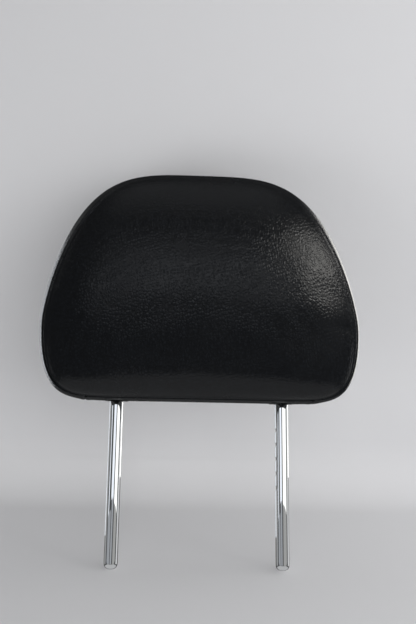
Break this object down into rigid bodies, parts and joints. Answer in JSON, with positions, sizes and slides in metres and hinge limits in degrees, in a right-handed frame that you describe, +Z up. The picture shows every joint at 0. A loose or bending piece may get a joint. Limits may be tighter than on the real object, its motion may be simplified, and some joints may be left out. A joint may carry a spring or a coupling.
{
  "type": "car headrest",
  "caption": "Black leather car headrest on a bent chromed post frame; the padded head tilts about the hidden crossbar, and one post has lock notches on its inner side.",
  "frame": {"origin": "midway between the two post axes, level with the post tips", "axes": "+Z up along the posts, +X to the right seen from the front, -Y towards the occupant's head (the front of the cushion)"},
  "size_m": [0.2958, 0.0899, 0.373],
  "materials": {
    "leather": "grained, semi-gloss",
    "foam": "open cell",
    "chrome": "polished",
    "black_plastic": "fine grain",
    "armature_plastic": "moulded",
    "bush_plastic": "moulded",
    "spring_steel": "oiled",
    "zinc_steel": "zinc plated"
  },
  "bodies": {
    "posts": {"post_frame": "chrome"},
    "head": {"armature_front": "armature_plastic", "armature_rear": "armature_plastic", "tilt_bush_left_front": "bush_plastic", "tilt_bush_left_rear": "bush_plastic", "tilt_bush_right_front": "bush_plastic", "tilt_bush_right_rear": "bush_plastic", "friction_spring_left": "spring_steel", "friction_spring_right": "spring_steel", "slot_bezel_left": "black_plastic", "slot_bezel_right": "black_plastic", "armature_screw_1": "zinc_steel", "armature_screw_2": "zinc_steel", "armature_screw_3": "zinc_steel", "armature_screw_4": "zinc_steel", "armature_screw_5": "zinc_steel", "armature_screw_6": "zinc_steel", "foam_pad": "foam", "cover_front_panel": "leather", "cover_rear_panel": "leather", "cover_side_band": "leather", "cover_underside_panel": "leather"}
  },
  "joints": [
    {"name": "head_tilt", "type": "hinge", "parent": "posts", "child": "head", "pos_m": [0, 0, 0.206], "axis": [1, 0, 0], "range_deg": [-6, 12]}
  ]
}
